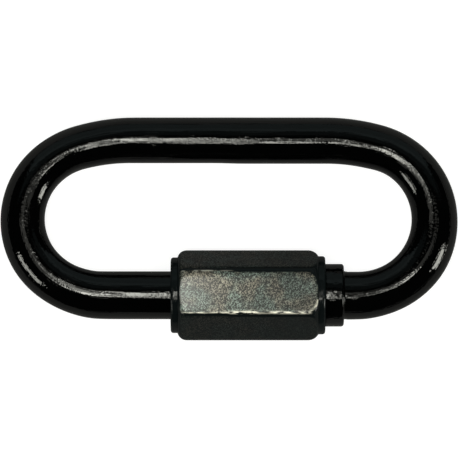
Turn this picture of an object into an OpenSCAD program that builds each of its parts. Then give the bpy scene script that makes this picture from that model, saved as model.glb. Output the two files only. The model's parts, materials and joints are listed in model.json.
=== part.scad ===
// Chain quick link: a steel rod bent into a long oval, with a mouth in one limb
// that a six-sided sleeve nut screws across. Millimetres.
// It lies on a table, on a corner of its nut and on its plain limb.
// X runs along the link, Y across it towards the plain limb, and Z is up.

/* [Rod] */
// Overall length of the bent rod
link_length = 74; // [70:0.5:90]
// Clear width of the eye between the two limbs
eye_width = 17.8; // [15:0.1:24]
// Diameter of the rod
rod_d = 7.5; // [6:0.1:8.5]
// Radius of the slow curve by which each bend runs into the plain limb
shoulder_r = 32; // [24:1:40]
// How far round that slow curve goes
shoulder_turn = 15; // [5:1:20]
// How much thinner the rod is drawn, on its radius, where it is bent most
bend_draw = 0.03; // [0.03:0.01:0.1]

/* [Threaded ends] */
// How far the thread stands above the rod
thread_raise = 0.75; // [0.5:0.05:1]
// Pitch of the thread
thread_pitch = 1.25; // [1:0.25:1.5]
// Length of thread on the end that the nut lives on
home_thread = 8.75; // [6:0.25:10]
// Length of thread on the end that the nut closes on
catch_thread = 4.5; // [3.5:0.25:6]
// Clear mouth between the two ends
mouth = 8; // [7:0.25:10]
// How far the nut's bore stands off the thread
thread_clearance = 0.06; // [0.03:0.01:0.1]

/* [Collar] */
// How far the collar stands above the thread
collar_step = 0.575; // [0.45:0.025:1]
// Length of the collar
collar_length = 3; // [2:0.1:4]
// Plain rod between the collar and the bend
shank_length = 2.4; // [1:0.1:4]
// Rounding of the collar's rim away from the nut
collar_round = 0.45; // [0.2:0.05:0.8]

/* [Sleeve nut] */
// Width across the flats, for a spanner
nut_flats = 13; // [12.5:0.1:17]
// Length of the nut, lips included
nut_length = 25; // [23:0.5:28]
// How far the sharp corners of the hexagon are turned down
corner_break = 0.18; // [0.05:0.01:0.4]
// Length of the round lip at each end
lip_length = 1.1; // [0.8:0.1:2]
// How far the lip at the collar lies below the flats
nose_step = 0.17; // [0.05:0.01:0.5]
// How far the lip at the far end lies below the flats
tail_step = 0.38; // [0.05:0.01:0.6]
// Rounding of each lip's rim
lip_round = 0.45; // [0.2:0.05:0.6]
// Bevel at each mouth of the bore
bore_bevel = 0.2; // [0.1:0.05:0.3]
// Radius of the arc that rounds the hexagon off towards the lip at the collar
nose_crown = 2; // [1.5:0.1:3]
// Radius of the arc that rounds the hexagon off towards the lip at the far end
tail_crown = 1.6; // [1.4:0.1:3]
// How far the top flat leans towards the plain limb
nut_turn = 5.5; // [0:0.5:15]

/* [Hidden] */
$fn = 96;
coat = [0.03, 0.03, 0.032];

rod_r = rod_d / 2;
limb_pitch = eye_width + rod_d;

// The tight arc of a bend and the slow one after it together span the limbs
bend_r = (limb_pitch - shoulder_r * (1 - cos(shoulder_turn))) / (1 + cos(shoulder_turn));
bend_rod_r = rod_r - bend_draw;
bend_x = link_length / 2 - bend_rod_r - bend_r;
shoulder_x = bend_x - (shoulder_r - bend_r) * sin(shoulder_turn);

// How far, in degrees, the drawn rod of a tight arc reaches into the full rod at either end
draw_reach = 1.5;

// A metric thread is cut this share of its pitch deep
thread_depth = 0.6134 * thread_pitch;
thread_r = rod_r + thread_raise;
bore_r = thread_r + thread_clearance;
collar_end = bend_x - shank_length;
collar_x = collar_end - collar_length;
catch_tip = collar_x - catch_thread;
home_tip = catch_tip - mouth;
home_root = home_tip - home_thread;
collar_r = thread_r + collar_step;

flat_r = nut_flats / 2;
corner_r = flat_r / cos(30) - corner_break;
nose_r = flat_r - nose_step;
tail_r = flat_r - tail_step;
nose_x = collar_x;
tail_x = nose_x - nut_length;

// How far along the nut an arc of a given radius runs as it drops from the corners to a lip
function crown_run(crown, lip_r) = sqrt(pow(crown, 2) - pow(crown - (corner_r - lip_r), 2));
nose_crown_x = nose_x - lip_length - crown_run(nose_crown, nose_r);
tail_crown_x = tail_x + lip_length + crown_run(tail_crown, tail_r);

// Half the angle that one flat takes up at the nut's axis, and what a turned corner leaves beside it
flat_angle = acos(flat_r / corner_r);
corner_angle = 30 - flat_angle;

// How the link lies: the nut's lowest corner and the plain limb both touch the table
nut_low = corner_r * cos(flat_angle - nut_turn);
lie_tilt = asin((nut_low - rod_r) / limb_pitch);
reach_far = limb_pitch * cos(lie_tilt) + rod_r;
reach_near = corner_r * cos(max(0, nut_turn - corner_angle));
middle_y = (reach_far - reach_near) / 2;

// Turns an outline of [radius, place along X] about the X axis
module turned() {
    rotate([0, 90, 0])
        rotate_extrude()
            children();
}

// Circle that rounds off a turned outline: its far side is at radius r
module rounding(r, x, radius) {
    translate([r - radius, x])
        circle(radius);
}

// Section of rod, a given way out from the middle of an arc
module rod_section(out, r = rod_r) {
    translate([out, 0])
        circle(r);
}

// Straight rod that leads off the start of an arc
module leg(out, length) {
    rotate([90, 0, 0])
        linear_extrude(length)
            rod_section(out);
}

// Tight arc of drawn rod round the right end of the link, with the leg of the near limb
module tight_arc(near_leg) {
    translate([bend_x, bend_r, 0])
        rotate([0, 0, -90]) {
            rotate([0, 0, -draw_reach])
                rotate_extrude(angle = 180 - shoulder_turn + 2 * draw_reach)
                    rod_section(bend_r, bend_rod_r);
            leg(bend_r, near_leg);
        }
}

// Slow arc that follows it, with the right half of the plain limb
module shoulder() {
    translate([shoulder_x, limb_pitch - shoulder_r, 0])
        rotate([0, 0, 90])
            mirror([0, 1, 0]) {
                rotate_extrude(angle = shoulder_turn)
                    rod_section(shoulder_r);
                leg(shoulder_r, shoulder_x);
            }
}

// Right end of the link
module bend(near_leg) {
    tight_arc(near_leg);
    shoulder();
}

// End that the nut lives on: the rod swells to a thread with a bevelled tip
module home_end() {
    swell_start = home_root - thread_r * thread_pitch / thread_raise;
    turned()
        polygon([
            [0, swell_start],
            [thread_r, home_root],
            [thread_r, home_tip - thread_depth],
            [thread_r - thread_depth, home_tip],
            [0, home_tip]
        ]);
}

// End that the nut closes on: a short thread with a bevelled tip, and the collar that stops the nut
module catch_end() {
    turned() {
        polygon([
            [0, catch_tip],
            [thread_r - thread_depth, catch_tip],
            [thread_r, catch_tip + thread_depth],
            [thread_r, collar_x],
            [collar_r, collar_x],
            [collar_r, collar_end - collar_round],
            [collar_r - collar_round, collar_end],
            [0, collar_end]
        ]);
        rounding(collar_r, collar_end - collar_round, collar_round);
    }
}

// Outline of the nut before its flats are cut: a lip at each end and the turned corners between
module nut_outline() {
    polygon([
        [0, tail_x],
        [tail_r - lip_round, tail_x],
        [tail_r, tail_x + lip_round],
        [tail_r, tail_x + lip_length],
        [corner_r, tail_crown_x],
        [corner_r, nose_crown_x],
        [nose_r, nose_x - lip_length],
        [nose_r, nose_x - lip_round],
        [nose_r - lip_round, nose_x],
        [0, nose_x]
    ]);
    rounding(tail_r, tail_x + lip_round, lip_round);
    rounding(corner_r, tail_crown_x, tail_crown);
    rounding(corner_r, nose_crown_x, nose_crown);
    rounding(nose_r, nose_x - lip_round, lip_round);
}

// Outline of the threaded bore with a bevel at each mouth
module bore_outline() {
    bevel_r = bore_r + bore_bevel;
    polygon([
        [0, tail_x],
        [bevel_r, tail_x],
        [bore_r, tail_x + bore_bevel],
        [bore_r, nose_x - bore_bevel],
        [bevel_r, nose_x],
        [0, nose_x]
    ]);
}

// Six-sided bar that the nut is turned from, flat side up
module hex_bar() {
    translate([tail_x, 0, 0])
        rotate([0, 90, 0])
            rotate([0, 0, 30])
                cylinder(r = flat_r / cos(30), h = nut_length, $fn = 6);
}

// Puts the nut's axis where it rests above the table, with the part's outline centred on the origin
module laid_down() {
    translate([0, -middle_y, nut_low])
        children();
}

module link_body() {
    color(coat)
        laid_down()
            rotate([-lie_tilt, 0, 0]) {
                bend(bend_x - collar_x - collar_length / 2);
                mirror([1, 0, 0])
                    bend(bend_x + home_root);
                home_end();
                catch_end();
            }
}

module sleeve_nut() {
    color(coat)
        laid_down()
            rotate([-nut_turn, 0, 0])
                difference() {
                    intersection() {
                        turned() nut_outline();
                        hex_bar();
                    }
                    turned() bore_outline();
                }
}

link_body();
sleeve_nut();
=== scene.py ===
"""Looks of a chain quick link: a black rod bent into a long oval, closed by a six-sided sleeve nut."""

import json
import math

import bpy
import numpy as np
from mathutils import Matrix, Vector

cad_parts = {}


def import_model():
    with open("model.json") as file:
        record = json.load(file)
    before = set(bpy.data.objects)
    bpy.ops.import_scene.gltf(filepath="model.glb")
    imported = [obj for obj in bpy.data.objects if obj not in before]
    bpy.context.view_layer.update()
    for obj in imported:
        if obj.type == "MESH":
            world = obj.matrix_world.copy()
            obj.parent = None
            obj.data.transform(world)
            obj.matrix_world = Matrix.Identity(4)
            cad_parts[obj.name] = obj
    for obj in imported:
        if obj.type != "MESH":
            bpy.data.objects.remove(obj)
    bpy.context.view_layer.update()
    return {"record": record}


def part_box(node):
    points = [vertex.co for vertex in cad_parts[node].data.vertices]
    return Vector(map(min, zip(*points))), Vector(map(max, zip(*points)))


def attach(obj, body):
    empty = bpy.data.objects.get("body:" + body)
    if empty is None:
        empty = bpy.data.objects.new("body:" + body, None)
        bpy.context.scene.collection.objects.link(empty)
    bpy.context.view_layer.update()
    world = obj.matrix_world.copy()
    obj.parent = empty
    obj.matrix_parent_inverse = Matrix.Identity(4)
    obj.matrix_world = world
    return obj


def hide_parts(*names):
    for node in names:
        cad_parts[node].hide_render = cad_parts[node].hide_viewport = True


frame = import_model()

MM = 0.001

# Rod, threads and collar, at the sizes of the solids
ROD_R = 3.75 * MM
BEND_ROD_R = 3.72 * MM
SHOULDER_R = 32 * MM
SHOULDER_TURN = math.radians(15)
THREAD_R = 4.5 * MM
THREAD_PITCH = 1.25 * MM
THREAD_DEPTH = 0.6134 * THREAD_PITCH
HOME_THREAD = 8.75 * MM
CATCH_THREAD = 4.5 * MM
MOUTH = 8 * MM
COLLAR_R = 5.075 * MM
COLLAR_LENGTH = 3 * MM
COLLAR_ROUND = 0.45 * MM
COLLAR_BEVEL = 0.1 * MM
COLLAR_FILLET = 0.2 * MM

# The rod is bent cold and by eye, so its edges stray from the solid's. Each row gives the turn in degrees
# off the near limb, and how far the outer and the inner edge then lie outside the solid, in millimetres.
NEAR_R = 3.88 * MM
LEFT_EDGES = [
    (0, 0.13, 0.13),
    (15, -0.10, 0.24),
    (30, -0.14, 0.12),
    (45, 0.00, 0.00),
    (60, 0.11, -0.16),
    (90, 0.08, -0.33),
    (120, -0.03, -0.34),
    (150, -0.25, -0.21),
    (165, -0.23, -0.12),
    (180, -0.03, -0.05),
]
RIGHT_EDGES = [
    (0, 0.20, 0.06),
    (15, 0.04, 0.08),
    (30, 0.10, 0.04),
    (60, 0.24, 0.00),
    (90, 0.07, -0.05),
    (120, -0.04, -0.10),
    (150, -0.16, -0.13),
    (165, -0.12, 0.05),
    (180, -0.03, 0.05),
]
EDGE_BLEND = 3 * MM
LEFT_LEAN = 0.28 * MM
RIGHT_LEAN = 0.13 * MM
LEAN_RUN = 12 * MM
LEAN_POWER = 6

# Sleeve nut, at the sizes of the solid
FLAT_R = 6.5 * MM
CORNER_R = 7.3256 * MM
NOSE_R = 6.33 * MM
TAIL_R = 6.12 * MM
LIP_LENGTH = 1.1 * MM
LIP_ROUND = 0.45 * MM
NOSE_CROWN = 2 * MM
TAIL_CROWN = 1.6 * MM
BORE_R = 4.56 * MM
BORE_BEVEL = 0.2 * MM
BORE_RELIEF = 1.5 * MM
NUT_CREST_R = 3.95 * MM
EDGE_SOFTNESS = 0.3 * MM

# The coat takes this much off the crests of the rod's threads
COAT_GAP = 0.03 * MM
THREAD_ROOT_FLAT = 0.25
THREAD_CREST_FLAT = 0.125

# How finely the meshes are cut
ROD_SIDES = 96
ROD_STEP = 0.5 * MM
THREAD_STEPS = 14
ARC_STEPS = 8
BEVEL_STEPS = 4
LIP_STEPS = 4
CROWN_STEPS = 20
NUT_STEPS = 40
SHARP_ANGLE = math.radians(38)

# Places, from the frame
link_low, link_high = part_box("link_body")
nut_low, nut_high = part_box("sleeve_nut")
AXIS_Y = (nut_low.y + nut_high.y) / 2
AXIS_Z = (nut_low.z + nut_high.z) / 2
FAR_Y = link_high.y - ROD_R
FAR_Z = link_low.z + ROD_R
LIMB_PITCH = math.hypot(FAR_Y - AXIS_Y, AXIS_Z - FAR_Z)
LIE_TILT = math.atan2(AXIS_Z - FAR_Z, FAR_Y - AXIS_Y)
BEND_R = (LIMB_PITCH - SHOULDER_R * (1 - math.cos(SHOULDER_TURN))) / (1 + math.cos(SHOULDER_TURN))
BEND_REACH = link_high.x - BEND_ROD_R
BEND_X = BEND_REACH - BEND_R
SHOULDER_X = BEND_X - (SHOULDER_R - BEND_R) * math.sin(SHOULDER_TURN)
NOSE_X = nut_high.x
TAIL_X = nut_low.x
COLLAR_X = NOSE_X
COLLAR_END = COLLAR_X + COLLAR_LENGTH
CATCH_TIP = COLLAR_X - CATCH_THREAD
HOME_TIP = CATCH_TIP - MOUTH
HOME_ROOT = HOME_TIP - HOME_THREAD
SWELL_X = HOME_ROOT - THREAD_PITCH
spanner_flat = next(mount for mount in frame["record"]["mounts"] if mount["name"] == "spanner_flat")
FLAT_ANGLE = math.atan2(spanner_flat["axis"][2], spanner_flat["axis"][1])


def ease(share):
    """Goes from 0 to 1 with no kink at either end."""
    share = np.clip(share, 0.0, 1.0)
    return share * share * (3 - 2 * share)


def arc(x, r, radius, start, stop, steps=ARC_STEPS):
    """Points (x, r) on an arc about a centre, from one angle to another in degrees."""
    angles = np.radians(np.linspace(start, stop, steps + 1))
    return [(x + radius * math.cos(a), r + radius * math.sin(a)) for a in angles]


def thread_height(x, turn):
    """Height of a right-hand thread, 0 in the root and 1 on the crest, at a turn about the X axis."""
    wave = np.abs(2 * np.mod(x / THREAD_PITCH - turn / (2 * math.pi), 1.0) - 1)
    flank = 1 - THREAD_ROOT_FLAT - THREAD_CREST_FLAT
    return np.clip((wave - THREAD_ROOT_FLAT) / flank, 0.0, 1.0)


def tube_faces(first, second, count):
    """Quads between two rings of a tube, each given by the index of its first point."""
    following = [(j + 1) % count for j in range(count)]
    return [(first + j, first + k, second + k, second + j) for j, k in enumerate(following)]


def mesh_piece(name, points, faces, attributes):
    """An object with smooth faces and the given values at its points."""
    mesh = bpy.data.meshes.new(name)
    mesh.from_pydata(points.tolist(), [], faces)
    for label, values in attributes.items():
        kind, field = ("FLOAT", "value") if values.ndim == 1 else ("FLOAT_VECTOR", "vector")
        layer = mesh.attributes.new(label, kind, "POINT")
        layer.data.foreach_set(field, values.astype(np.float32).ravel())
    mesh.shade_smooth()
    mesh.set_sharp_from_angle(angle=SHARP_ANGLE)
    piece = bpy.data.objects.new(name, mesh)
    bpy.context.scene.collection.objects.link(piece)
    return piece


# Bent rod

ROD_ANGLES = np.linspace(0, 2 * math.pi, ROD_SIDES, endpoint=False) - math.pi / 2


def rod_ring(x, w, out_x, out_w, in_r, up_r, lean=0.0):
    """Section of the rod at (x, w) in the link's own plane, with its half widths in and across that plane.

    Its crests may lean towards the inside of the bend, with its edges left in place.
    """
    across = in_r * np.cos(ROD_ANGLES) - lean * (1 - np.cos(ROD_ANGLES) ** LEAN_POWER)
    up = up_r * np.sin(ROD_ANGLES)
    w = w + out_w * across
    y = AXIS_Y + w * math.cos(LIE_TILT) + up * math.sin(LIE_TILT)
    z = AXIS_Z - w * math.sin(LIE_TILT) + up * math.cos(LIE_TILT)
    return np.column_stack((x + out_x * across, y, z))


def turned_ring(x, r):
    """Section of one of the turned ends, which lie on the nut's axis."""
    return rod_ring(x, 0.0, 0.0, -1.0, r, r)


def threaded_rings(start, stop, limit, fade):
    """Rings along a thread from one X to the next, held under a limit and shallow where it fades out."""
    count = math.ceil(abs(stop - start) / THREAD_PITCH * THREAD_STEPS)
    rings = []
    for x in np.linspace(start, stop, count + 1):
        height = thread_height(x, math.pi - ROD_ANGLES)
        depth = THREAD_DEPTH * fade(x) * (1 - height)
        rings.append(turned_ring(x, np.minimum(limit(x) - COAT_GAP, THREAD_R - COAT_GAP - depth)))
    return rings


def home_rings():
    """End that the nut lives on: bevelled tip, thread, and the swell down to the rod."""

    def limit(x):
        bevel = THREAD_R - THREAD_DEPTH + (HOME_TIP - x)
        swell = NEAR_R + COAT_GAP + (THREAD_R - NEAR_R) * (x - SWELL_X) / THREAD_PITCH
        return min(bevel, swell, THREAD_R)

    def fade(x):
        return ease((x - SWELL_X) / THREAD_PITCH)

    return threaded_rings(HOME_TIP, SWELL_X, limit, fade)


def catch_rings():
    """Collar and the short thread that the nut closes on, down to its bevelled tip."""

    def limit(x):
        return min(THREAD_R - THREAD_DEPTH + (x - CATCH_TIP), THREAD_R)

    def fade(x):
        return ease((COLLAR_X - x) / THREAD_PITCH)

    outline = arc(COLLAR_END + COLLAR_FILLET, NEAR_R + COLLAR_FILLET, COLLAR_FILLET, 270, 180)
    outline += arc(COLLAR_END - COLLAR_ROUND, COLLAR_R - COLLAR_ROUND, COLLAR_ROUND, 0, 90)
    outline += arc(COLLAR_X + COLLAR_BEVEL, COLLAR_R - COLLAR_BEVEL, COLLAR_BEVEL, 90, 180, BEVEL_STEPS)
    return [turned_ring(x, r) for x, r in outline] + threaded_rings(COLLAR_X, CATCH_TIP, limit, fade)


def arc_rows(side, centre, radius, start, stop):
    """Centre line round one arc of a bend, side 1 at the right, between two turns off the near limb."""
    count = math.ceil(radius * abs(stop - start) / ROD_STEP)
    rows = []
    for turn in np.linspace(start, stop, count + 1)[:-1]:
        out_x = side * math.sin(turn)
        out_w = -math.cos(turn)
        rows.append((centre[0] + radius * out_x, centre[1] + radius * out_w, out_x, out_w))
    return rows


def straight_rows(start, stop, w, out_w):
    """Centre line of one straight stretch along X."""
    count = math.ceil(abs(stop - start) / ROD_STEP)
    return [(x, w, 0.0, out_w) for x in np.linspace(start, stop, count + 1)[:-1]]


def rod_path():
    """Centre line of the plain rod from the swell to the collar: rows of x, w and the outward direction."""
    tight_stop = math.pi - SHOULDER_TURN
    shoulder_w = LIMB_PITCH - SHOULDER_R
    rows = straight_rows(SWELL_X - ROD_STEP, -BEND_X, 0.0, -1.0)
    rows += arc_rows(-1, (-BEND_X, BEND_R), BEND_R, 0.0, tight_stop)
    rows += arc_rows(-1, (-SHOULDER_X, shoulder_w), SHOULDER_R, tight_stop, math.pi)
    rows += straight_rows(-SHOULDER_X, SHOULDER_X, LIMB_PITCH, 1.0)
    rows += arc_rows(1, (SHOULDER_X, shoulder_w), SHOULDER_R, math.pi, tight_stop)
    rows += arc_rows(1, (BEND_X, BEND_R), BEND_R, tight_stop, 0.0)
    return rows + straight_rows(BEND_X, COLLAR_END + COLLAR_FILLET, 0.0, -1.0)


def blended(values):
    """Values along the plain rod with their kinks smoothed out."""
    reach = round(EDGE_BLEND / ROD_STEP)
    kernel = np.hanning(2 * reach + 3)
    padded = np.pad(values, reach + 1, mode="edge")
    return np.convolve(padded, kernel / kernel.sum(), mode="valid")


def edge_offsets(path):
    """How far the rod's outer and inner edges lie outside the solid's, along its path."""
    offsets = np.zeros((len(path), 2))
    for side, edges in ((-1, LEFT_EDGES), (1, RIGHT_EDGES)):
        turns, outer, inner = np.array(edges).T
        rows = path[:, 0] * side > 0
        turn = np.degrees(np.arccos(-path[rows, 3]))
        offsets[rows] = np.column_stack((np.interp(turn, turns, outer), np.interp(turn, turns, inner))) * MM
    return blended(offsets[:, 0]), blended(offsets[:, 1])


def plain_rings():
    """Rings of the plain rod, a little thinner where it is bent, with edges that stray from the solid's."""
    path = np.array(rod_path())
    rings = []
    for (x, w, out_x, out_w), outer, inner in zip(path, *edge_offsets(path)):
        bent = ease((abs(x) - SHOULDER_X) / (BEND_REACH - SHOULDER_X))
        half = ROD_R + (BEND_ROD_R - ROD_R) * bent + (outer + inner) / 2
        shift = (outer - inner) / 2
        up_r = max(half, ROD_R) if w < BEND_R else ROD_R
        lean = (LEFT_LEAN if x < 0 else RIGHT_LEAN) * ease((abs(x) - BEND_X + LEAN_RUN / 2) / LEAN_RUN)
        rings.append(rod_ring(x + out_x * shift, w + out_w * shift, out_x, out_w, half, up_r, lean))
    return rings


def straightened(rings):
    """Where each point of the rod would be if the rod were straight, for marks that run along it."""
    centres = np.array([ring.mean(axis=0) for ring in rings])
    ways = np.concatenate(([0.0], np.cumsum(np.linalg.norm(np.diff(centres, axis=0), axis=1))))
    rows = []
    for ring, centre, way in zip(rings, centres, ways):
        radii = np.linalg.norm(ring - centre, axis=1)
        along = np.full(ROD_SIDES, way)
        rows.append(np.column_stack((along, radii * np.cos(ROD_ANGLES), radii * np.sin(ROD_ANGLES))))
    return np.vstack(rows)


# How hard the rod was worked, from 0 to 1, at the link's two ends and on the collar
END_WORK = 0.28
COLLAR_WORK = 0.6


def worked_shares(rings):
    """How hard the rod was worked at each point: not on the limbs, more and more towards the link's ends."""
    shares = []
    for ring in rings:
        centre = ring.mean(axis=0)
        in_bend = END_WORK * ease((abs(centre[0]) - BEND_X) / (BEND_REACH - BEND_X))
        on_collar = np.linalg.norm(ring[0] - centre) > THREAD_R
        shares.append(COLLAR_WORK if on_collar else in_bend)
    return np.repeat(shares, ROD_SIDES)


def bent_rod():
    """The link's rod as one closed skin, from the tip of one threaded end to the tip of the other."""
    rings = home_rings() + plain_rings() + catch_rings()
    faces = []
    for i in range(len(rings) - 1):
        faces += tube_faces(i * ROD_SIDES, (i + 1) * ROD_SIDES, ROD_SIDES)
    last = (len(rings) - 1) * ROD_SIDES
    faces.append(tuple(reversed(range(ROD_SIDES))))
    faces.append(tuple(range(last, last + ROD_SIDES)))
    values = {"straight": straightened(rings), "worked": worked_shares(rings)}
    return mesh_piece("bent_rod", np.vstack(rings), faces, values)


# Sleeve nut

SIDES = 6
SIDE_TURN = 2 * math.pi / SIDES
# Turns in degrees across one flat from its middle, close together near the corners
CORNER_TURN = 180 / SIDES
FINE_TURN = 24
COARSE_STEPS = 10
FINE_STEPS = 20
HALF_TURNS = np.concatenate((
    np.linspace(0, FINE_TURN, COARSE_STEPS, endpoint=False),
    np.linspace(FINE_TURN, CORNER_TURN, FINE_STEPS, endpoint=False),
))
FLAT_TURNS = np.radians(np.concatenate(([-CORNER_TURN], -HALF_TURNS[:0:-1], HALF_TURNS)))
NUT_TURNS = np.tile(FLAT_TURNS, SIDES)
NUT_SIDES = np.repeat(np.arange(SIDES), len(FLAT_TURNS))
NUT_ANGLES = FLAT_ANGLE + NUT_SIDES * SIDE_TURN + NUT_TURNS
BORE_EVERY = 3
BORE_ANGLES = NUT_ANGLES[::BORE_EVERY]

# The top flat's corner away from the plain limb is nicked
NICK_X = 5.9 * MM
NICK_LENGTH = 0.9 * MM
NICK_DEPTH = 0.1 * MM
NICK_TURN = math.radians(2.2)

# Wear of the coat on each side, from the top flat round by the near side to the one facing the plain limb;
# the extra on that last side is a painted sheen that lightens it
SIDE_WEAR_AND_SHEEN = np.array((1.0, 0.07, 0.07, 0.07, 0.07, 0.24))
WEAR_TURN = math.radians(28.4)
WEAR_TURN_BLUR = math.radians(1.0)
WEAR_START = TAIL_X + 1.45 * MM
START_BLUR = 0.3 * MM
# Towards the nose the turned outline bounds the worn patch, and a painted shade darkens the nut more and
# more towards the nose
NOSE_HALF_X = 0.0
NOSE_BLUR = 0.16 * MM
NOSE_SHADE_SHARE = 0.37
NOSE_SHADE_START = TAIL_X + 9 * MM
NOSE_SHADE_RUN = 11 * MM

# Bright steel along the top flat's near edge, partly a worn edge and partly a painted highlight, a worn
# stretch of its far edge, and a painted glint round its near corner at the nose
NEAR_RUB_GLINT_TURN = math.radians(27.6)
NEAR_RUB_GLINT_WIDTH = math.radians(0.6)
FAR_BURR_TURN = math.radians(-28.2)
FAR_BURR_WIDTH = math.radians(0.7)
FAR_BURR_SHARE = 0.7
FAR_BURR_STOP = 2 * MM
FAR_BURR_FADE = 6 * MM
RUB_GLINT_START = TAIL_X + 1.6 * MM
RUB_GLINT_PAST_CROWN = 0.8 * MM
RUB_GLINT_STOP_BLUR = 0.5 * MM
GLINT_RIM_WIDTH = 0.11 * MM
GLINT_RIM_START_TURN = math.radians(4)
GLINT_RIM_START_BLUR = math.radians(8)


def soft_min(a, b, softness):
    """The smaller of two sizes, with the edge between them rounded."""
    near = np.maximum(softness - np.abs(a - b), 0.0) / softness
    return np.minimum(a, b) - near * near * softness / 4


def bell(off, width):
    """Falls from 1 to nearly 0 within about two widths of a place."""
    return np.exp(-((off / width) ** 2))


def crown_run(crown, lip_r):
    """How far along the nut an arc runs as it drops from the corners to a lip."""
    return math.sqrt(crown**2 - (crown - (CORNER_R - lip_r)) ** 2)


NOSE_CROWN_X = NOSE_X - LIP_LENGTH - crown_run(NOSE_CROWN, NOSE_R)
TAIL_CROWN_X = TAIL_X + LIP_LENGTH + crown_run(TAIL_CROWN, TAIL_R)


def nut_outline():
    """Turned outline of the nut as (x, r), from the rim of one lip to the rim of the other."""
    tail_start = math.degrees(math.acos((TAIL_CROWN_X - TAIL_X - LIP_LENGTH) / TAIL_CROWN))
    nose_stop = math.degrees(math.acos((NOSE_X - LIP_LENGTH - NOSE_CROWN_X) / NOSE_CROWN))
    points = arc(TAIL_X + LIP_ROUND, TAIL_R - LIP_ROUND, LIP_ROUND, 180, 90)
    points += [(x, TAIL_R) for x in np.linspace(TAIL_X + LIP_ROUND, TAIL_X + LIP_LENGTH, LIP_STEPS + 1)[1:]]
    points += arc(TAIL_CROWN_X, CORNER_R - TAIL_CROWN, TAIL_CROWN, 180 - tail_start, 90, CROWN_STEPS)[1:]
    points += [(x, CORNER_R) for x in np.linspace(TAIL_CROWN_X, NOSE_CROWN_X, NUT_STEPS)[1:-1]]
    points += arc(NOSE_CROWN_X, CORNER_R - NOSE_CROWN, NOSE_CROWN, 90, nose_stop, CROWN_STEPS)
    points += [(x, NOSE_R) for x in np.linspace(NOSE_X - LIP_LENGTH, NOSE_X - LIP_ROUND, LIP_STEPS + 1)[1:]]
    points += arc(NOSE_X - LIP_ROUND, NOSE_R - LIP_ROUND, LIP_ROUND, 90, 0)[1:]
    return points


def nut_ring(x, r, angles):
    """Points about the nut's axis at one X."""
    y = AXIS_Y + r * np.cos(angles)
    z = AXIS_Z + r * np.sin(angles)
    return np.column_stack((np.full(len(angles), x), y, z))


def nut_radius(x, turned_r):
    """Radius round the nut at one X: the hexagon cut by the turned outline, with soft edges and a nick."""
    hexagon = FLAT_R / np.cos(NUT_TURNS)
    radius = soft_min(hexagon, np.full(len(NUT_TURNS), turned_r), EDGE_SOFTNESS)
    off_corner = NUT_ANGLES - FLAT_ANGLE - SIDE_TURN / 2
    nick = bell(off_corner, NICK_TURN) * bell(x - NICK_X, NICK_LENGTH)
    return radius - NICK_DEPTH * nick


def nut_wear_and_painted_light(x, turned_r):
    """How far the coat is worn through at one X: most on the top flat, a little on the other sides, with a
    painted sheen on the side facing the plain limb and a painted shade that darkens the nut towards the
    nose.
    """
    inside_corner = ease((WEAR_TURN - np.abs(NUT_TURNS)) / WEAR_TURN_BLUR)
    off_tail = ease((x - WEAR_START) / START_BLUR)
    inside_nose = ease((turned_r - FLAT_R / np.cos(NUT_TURNS)) / NOSE_BLUR) if x > NOSE_HALF_X else 1.0
    # Painted shade: the worn steel fades out towards the nose so that end shows darker
    painted_shade_to_nose = 1 - NOSE_SHADE_SHARE * ease((x - NOSE_SHADE_START) / NOSE_SHADE_RUN)
    return SIDE_WEAR_AND_SHEEN[NUT_SIDES] * inside_corner * off_tail * inside_nose * painted_shade_to_nose


def nut_rub_and_glint(x, turned_r):
    """How far the top flat's edges show bright steel at one X: worn edges, with a painted highlight along
    the near edge and a painted glint round the near corner at the nose.
    """
    top = np.where(NUT_SIDES == 0, 1.0, 0.0)
    # Along the near edge the bright steel is partly wear and partly a painted highlight
    near_edge = bell(NUT_TURNS - NEAR_RUB_GLINT_TURN, NEAR_RUB_GLINT_WIDTH)
    far_edge = bell(NUT_TURNS - FAR_BURR_TURN, FAR_BURR_WIDTH)
    off_tail = ease((x - RUB_GLINT_START) / START_BLUR)
    off_nose = ease((NOSE_CROWN_X + RUB_GLINT_PAST_CROWN - x) / RUB_GLINT_STOP_BLUR)
    far_share = FAR_BURR_SHARE * ease((FAR_BURR_STOP - x) / FAR_BURR_FADE)
    # Painted glint round the top flat's near corner at the nose
    rim = bell(turned_r - FLAT_R / np.cos(NUT_TURNS), GLINT_RIM_WIDTH) if x > NOSE_HALF_X else 0.0
    near_glint_rim = rim * ease((NUT_TURNS - GLINT_RIM_START_TURN) / GLINT_RIM_START_BLUR)
    return top * np.maximum(off_tail * off_nose * np.maximum(near_edge, far_share * far_edge), near_glint_rim)


def bore_rings():
    """Rings of the threaded bore, from the nose back to the tail."""
    start = NOSE_X - BORE_BEVEL
    stop = TAIL_X + BORE_BEVEL
    count = math.ceil((start - stop) / THREAD_PITCH * THREAD_STEPS)
    rings = [nut_ring(NOSE_X, BORE_R + BORE_BEVEL, BORE_ANGLES)]
    for x in np.linspace(start, stop, count + 1):
        fade = ease((NOSE_X - BORE_RELIEF - x) / THREAD_PITCH) * ease((x - stop) / THREAD_PITCH)
        height = thread_height(x, BORE_ANGLES + LIE_TILT)
        rings.append(nut_ring(x, BORE_R - (BORE_R - NUT_CREST_R) * fade * (1 - height), BORE_ANGLES))
    rings.append(nut_ring(TAIL_X, BORE_R + BORE_BEVEL, BORE_ANGLES))
    return rings


def end_faces(outer, inner, turn_over):
    """Flat ring of faces between a lip's rim and a mouth of the bore, which has fewer points."""
    count = len(NUT_ANGLES)
    inner_count = len(BORE_ANGLES)
    faces = []
    for j in range(inner_count):
        rim = [outer + (BORE_EVERY * j + step) % count for step in range(BORE_EVERY + 1)]
        face = rim + [inner + (j + 1) % inner_count, inner + j]
        faces.append(tuple(reversed(face)) if turn_over else tuple(face))
    return faces


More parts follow.
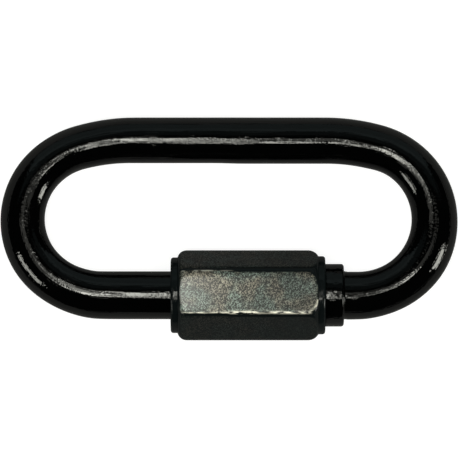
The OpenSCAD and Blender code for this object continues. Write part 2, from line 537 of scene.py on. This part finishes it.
def sleeve_nut():
    """The nut as one closed skin: its six-sided outside, its two end faces and its threaded bore."""
    outline = nut_outline()
    outside = [nut_ring(x, nut_radius(x, r), NUT_ANGLES) for x, r in outline]
    inside = bore_rings()
    count = len(NUT_ANGLES)
    inner_count = len(BORE_ANGLES)
    faces = []
    for i in range(len(outside) - 1):
        faces += tube_faces(i * count, (i + 1) * count, count)
    base = len(outside) * count
    for i in range(len(inside) - 1):
        faces += tube_faces(base + i * inner_count, base + (i + 1) * inner_count, inner_count)
    last_inside = base + (len(inside) - 1) * inner_count
    faces += end_faces((len(outside) - 1) * count, base, False)
    faces += end_faces(0, last_inside, True)
    points = np.vstack(outside + inside)
    unworn = np.zeros(len(points) - base)
    wear_and_painted_light = np.concatenate([nut_wear_and_painted_light(x, r) for x, r in outline] + [unworn])
    rub_and_glint = np.concatenate([nut_rub_and_glint(x, r) for x, r in outline] + [unworn])
    return mesh_piece("sleeve_nut_skin", points, faces, {"wear_and_painted_light": wear_and_painted_light, "rub_and_glint": rub_and_glint})


# Materials


def add_node(tree, kind, inputs=None, **settings):
    """Adds a node, with its inputs set to values or joined to other nodes' sockets."""
    made = tree.nodes.new(kind)
    for key, value in settings.items():
        setattr(made, key, value)
    for key, value in (inputs or {}).items():
        if isinstance(value, bpy.types.NodeSocket):
            tree.links.new(value, made.inputs[key])
        else:
            made.inputs[key].default_value = value
    return made


def new_material(name):
    """A material with an empty node tree and its output, ready for a shader."""
    material = bpy.data.materials.new(name)
    material.use_nodes = True
    tree = material.node_tree
    tree.nodes.clear()
    output = tree.nodes.new("ShaderNodeOutputMaterial")
    return material, tree, output


def noise(tree, vector, size, detail=2.0):
    """Noise with blobs of about the given size in metres."""
    inputs = {"Vector": vector, "Scale": 1 / size, "Detail": detail}
    return add_node(tree, "ShaderNodeTexNoise", inputs).outputs["Fac"]


def grains(tree, vector, size):
    """A value from 0 to 1 for each of many small grains of about the given size in metres."""
    return add_node(tree, "ShaderNodeTexVoronoi", {"Vector": vector, "Scale": 1 / size}).outputs["Color"]


def stretched(tree, vector, scale):
    """The same place scaled along each axis, so that a noise there runs in streaks."""
    inputs = {0: vector, 1: scale}
    return add_node(tree, "ShaderNodeVectorMath", inputs, operation="MULTIPLY").outputs["Vector"]


def ranged(tree, value, low, high, new_low=0.0, new_high=1.0):
    """A value moved from one range to another and held inside it."""
    inputs = {"Value": value, "From Min": low, "From Max": high, "To Min": new_low, "To Max": new_high}
    return add_node(tree, "ShaderNodeMapRange", inputs).outputs["Result"]


def sums(tree, operation, a, b):
    """Two values added, multiplied or the like."""
    return add_node(tree, "ShaderNodeMath", {0: a, 1: b}, operation=operation).outputs["Value"]


def mixed(tree, share, a, b):
    """Two colours mixed by a share."""
    made = add_node(tree, "ShaderNodeMix", {0: share, 6: a, 7: b}, data_type="RGBA")
    return made.outputs[2]


def bump(tree, height, depth, normal=None):
    """A normal bent by a height from 0 to 1 that stands for a depth in metres."""
    inputs = {"Height": height, "Strength": 1.0, "Distance": depth}
    if normal is not None:
        inputs["Normal"] = normal
    return add_node(tree, "ShaderNodeBump", inputs).outputs["Normal"]


# Marks on the rod's coat, and its two blacks
PEBBLE = 0.25 * MM
PEBBLE_DEPTH = 0.014 * MM
DRAWN_MARK = 0.25 * MM
DRAWN_DEPTH = 0.03 * MM
DRAWN_STRETCH = (0.04, 1.0, 1.0)
DENT = 0.4 * MM
DENT_DEPTH = 0.05 * MM
PATCH = 4 * MM
ROD_BLACK = (0.0002, 0.0003, 0.0003, 1)
ROD_GREY = (0.0004, 0.0004, 0.0004, 1)

# Marks on the nut's coat, its black, and the steel under it
GRAIN = 0.15 * MM
GRAIN_DEPTH = 0.01 * MM
BLOTCH = 2.2 * MM
TINT = 3.5 * MM
CHIP = 0.45 * MM
CHIP_STRETCH = (0.35, 1.0, 1.0)
NUT_BLACK = (0.004, 0.0058, 0.0062, 1)
STEEL_COOL = (0.21, 0.26, 0.23, 1)
STEEL_WARM = (0.28, 0.26, 0.21, 1)
STEEL_DARK = (0.019, 0.02, 0.019, 1)
# Bright steel of the worn edges, which also paints a highlight along the near edge and a glint at the nose
STEEL_RUB_AND_GLINT = (0.71, 0.69, 0.59, 1)


def rod_coat():
    """Glossy black coat, faintly pebbled, with fine marks along the rod."""
    material, tree, output = new_material("rod_coat")
    place = add_node(tree, "ShaderNodeAttribute", attribute_name="straight").outputs["Vector"]
    worked = add_node(tree, "ShaderNodeAttribute", attribute_name="worked").outputs["Fac"]
    pebbles = noise(tree, place, PEBBLE, 0.0)
    dents = noise(tree, place, DENT, 0.0)
    drawn = noise(tree, stretched(tree, place, DRAWN_STRETCH), DRAWN_MARK, 1.0)
    patches = noise(tree, place, PATCH)
    strength = ranged(tree, patches, 0.35, 0.65, 0.3, 1.0)
    normal = bump(tree, sums(tree, "MULTIPLY", pebbles, strength), PEBBLE_DEPTH)
    normal = bump(tree, sums(tree, "MULTIPLY", drawn, strength), DRAWN_DEPTH, normal)
    normal = bump(tree, sums(tree, "MULTIPLY", dents, worked), DENT_DEPTH, normal)
    colour = mixed(tree, ranged(tree, patches, 0.4, 0.7), ROD_BLACK, ROD_GREY)
    shader = add_node(tree, "ShaderNodeBsdfPrincipled", {
        "Base Color": colour,
        "Roughness": ranged(tree, patches, 0.3, 0.7, 0.35, 0.5),
        "Specular IOR Level": 0.0,
        "Coat Weight": 0.43,
        "Coat Roughness": 0.048,
        "Coat IOR": 1.55,
        "Normal": normal,
        "Coat Normal": normal,
    })
    tree.links.new(shader.outputs[0], output.inputs["Surface"])
    return material


def nut_coat():
    """Thin satin black coat, worn to speckled grey steel on the flat that is handled most, darkened by
    painted shade towards the nose and lightened by a painted sheen on the side facing the plain limb, with
    bright steel on that flat's edges that is partly wear and partly painted highlight and glint.
    """
    material, tree, output = new_material("nut_coat")
    place = add_node(tree, "ShaderNodeTexCoord").outputs["Object"]
    wear_and_painted_light = add_node(tree, "ShaderNodeAttribute", attribute_name="wear_and_painted_light").outputs["Fac"]
    rub_and_glint = add_node(tree, "ShaderNodeAttribute", attribute_name="rub_and_glint").outputs["Fac"]
    speckle = grains(tree, place, GRAIN)
    blotch = noise(tree, place, BLOTCH, 3.0)
    tint = noise(tree, place, TINT)
    chips = noise(tree, stretched(tree, place, CHIP_STRETCH), CHIP)
    bright = mixed(tree, ranged(tree, tint, 0.42, 0.58), STEEL_COOL, STEEL_WARM)
    steel = mixed(tree, ranged(tree, speckle, 0.43, 0.82), STEEL_DARK, bright)
    share = sums(tree, "MULTIPLY", wear_and_painted_light, ranged(tree, blotch, 0.3, 0.6, 0.7, 1.0))
    colour = mixed(tree, share, NUT_BLACK, steel)
    # Bright steel on the top flat's edges: partly wear, partly a painted highlight and glint
    edge_rub_and_glint = sums(tree, "MULTIPLY", rub_and_glint, ranged(tree, chips, 0.42, 0.56))
    colour = mixed(tree, edge_rub_and_glint, colour, STEEL_RUB_AND_GLINT)
    share = sums(tree, "MAXIMUM", share, edge_rub_and_glint)
    normal = bump(tree, speckle, GRAIN_DEPTH)
    shader = add_node(tree, "ShaderNodeBsdfPrincipled", {
        "Base Color": colour,
        "Metallic": share,
        "Roughness": ranged(tree, speckle, 0.3, 0.7, 0.4, 0.5),
        "Specular IOR Level": 0.0,
        "Coat Weight": 0.28,
        "Coat Roughness": 0.08,
        "Normal": normal,
        "Coat Normal": normal,
    })
    tree.links.new(shader.outputs[0], output.inputs["Surface"])
    return material


# How much the floor glows to the camera and in reflections, beside what its paint gives back
FLOOR_GLOW = 0.86
MIRRORED_GLOW = 0.07
FLOOR_PAINT = (0.29, 0.29, 0.29, 1)


def floor_paint():
    """Plain floor that shows white to the camera, glows faintly in reflections and keeps a soft shadow."""
    material, tree, output = new_material("floor_paint")
    ways = add_node(tree, "ShaderNodeLightPath")
    mirrored = sums(tree, "MAXIMUM", ways.outputs["Is Glossy Ray"], ways.outputs["Is Transmission Ray"])
    seen = ranged(tree, ways.outputs["Is Camera Ray"], 0.0, 1.0, 0.0, FLOOR_GLOW)
    seen = sums(tree, "MAXIMUM", seen, sums(tree, "MULTIPLY", mirrored, MIRRORED_GLOW))
    glow = add_node(tree, "ShaderNodeEmission", {"Strength": seen})
    paint = add_node(tree, "ShaderNodeBsdfDiffuse", {"Color": FLOOR_PAINT})
    both = add_node(tree, "ShaderNodeAddShader", {0: glow.outputs[0], 1: paint.outputs[0]})
    tree.links.new(both.outputs[0], output.inputs["Surface"])
    return material


# Stage

FLOOR_HALF = 3.0
FLOOR_Z = -0.00001


def floor():
    """Large plain floor just under the part."""
    signs = ((-1, -1), (1, -1), (1, 1), (-1, 1))
    corners = [(x * FLOOR_HALF, y * FLOOR_HALF, FLOOR_Z) for x, y in signs]
    mesh = bpy.data.meshes.new("floor")
    mesh.from_pydata(corners, [], [(0, 1, 2, 3)])
    mesh.materials.append(floor_paint())
    piece = bpy.data.objects.new("floor", mesh)
    bpy.context.scene.collection.objects.link(piece)


WARM = (1.0, 1.0, 0.91)
COOL = (0.8, 1.0, 1.0)

# Lamps that face down on the part: name, place, size along X and Y, brightness and turn in degrees
KEY_Z = 0.6
PANEL_Z = 0.61
OVERHEAD_LAMPS = [
    ("key_upper", (-0.028, 0.038, KEY_Z), (0.034, 0.145), 26.0, -4),
    ("key_arm", (-0.078, -0.046, KEY_Z), (0.125, 0.045), 32.0, 28),
    ("key_glow", (-0.085, 0.03, KEY_Z), (0.075, 0.12), 7.0, 0),
    ("key_middle", (0.03, 0.06, KEY_Z), (0.09, 0.09), 1.6, 0),
    ("key_right", (0.138, -0.024, KEY_Z), (0.09, 0.07), 22.0, 0),
    ("key_low", (0.008, -0.1, KEY_Z), (0.045, 0.08), 17.0, 0),
    ("wide_left", (-0.13, 0.02, PANEL_Z), (0.2, 0.34), 1.3, 0),
    ("wide_right", (0.15, 0.09, PANEL_Z), (0.16, 0.14), 0.9, 0),
]

# Lamps beside and behind the part, which are aimed at it: name, place, size, brightness and colour
AIMED_LAMPS = [
    ("right_box", (0.449, -0.137, 0.16), (0.14, 0.17), 18.0, WARM),
    ("left_box", (-0.406, -0.216, 0.205), (0.22, 0.11), 12.6, WARM),
    ("back_box", (0.0, 0.6, 0.25), (1.2, 0.5), 0.35, COOL),
    ("back_high", (0.0, 0.45, 0.5), (1.2, 0.4), 0.126, COOL),
]
WORLD_LEVEL = 0.014


def lamp(name, place, size, brightness, turn, colour):
    """Rectangular soft light of a given brightness, which the camera doesn't see."""
    light = bpy.data.lights.new(name, "AREA")
    light.color = colour
    light.shape = "RECTANGLE"
    light.size, light.size_y = size
    light.energy = math.pi * light.size * light.size_y * brightness
    piece = bpy.data.objects.new(name, light)
    piece.location = place
    piece.rotation_euler = turn
    piece.visible_camera = False
    bpy.context.scene.collection.objects.link(piece)


def lights():
    """Lamps over the part that draw its streaks, a low box at either side and faint panels behind."""
    for name, place, size, brightness, turn in OVERHEAD_LAMPS:
        lamp(name, place, size, brightness, (0.0, 0.0, math.radians(turn)), WARM)
    for name, place, size, brightness, colour in AIMED_LAMPS:
        aim = (-Vector(place)).to_track_quat("-Z", "Y").to_euler()
        lamp(name, place, size, brightness, aim, colour)


def world():
    """Faint even light from all round."""
    made = bpy.data.worlds.new("studio")
    made.use_nodes = True
    background = made.node_tree.nodes["Background"]
    background.inputs["Color"].default_value = (1.0, 1.0, 1.0, 1.0)
    background.inputs["Strength"].default_value = WORLD_LEVEL
    bpy.context.scene.world = made


# Straight down on the part, from a place where its length just fills the frame
VIEW_HEIGHT = 0.9
VIEW_PLANE = 5.3 * MM
VIEW_WIDTH = 74.27 * MM
VIEW_Y = -0.05 * MM
SENSOR_WIDTH = 36.0


def camera():
    """Camera that looks straight down on the part, with the plain limb at the top of the frame."""
    data = bpy.data.cameras.new("camera")
    data.sensor_width = SENSOR_WIDTH
    data.lens = SENSOR_WIDTH * VIEW_HEIGHT / VIEW_WIDTH
    piece = bpy.data.objects.new("camera", data)
    piece.location = (0.0, VIEW_Y, VIEW_PLANE + VIEW_HEIGHT)
    bpy.context.scene.collection.objects.link(piece)
    bpy.context.scene.camera = piece


# The part

rod = bent_rod()
rod.data.materials.append(rod_coat())
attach(rod, "link_body")
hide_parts("link_body")

nut = sleeve_nut()
nut.data.materials.append(nut_coat())
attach(nut, "sleeve_nut")
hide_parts("sleeve_nut")

floor()
lights()
world()
camera()
bpy.context.scene.view_settings.view_transform = "Standard"
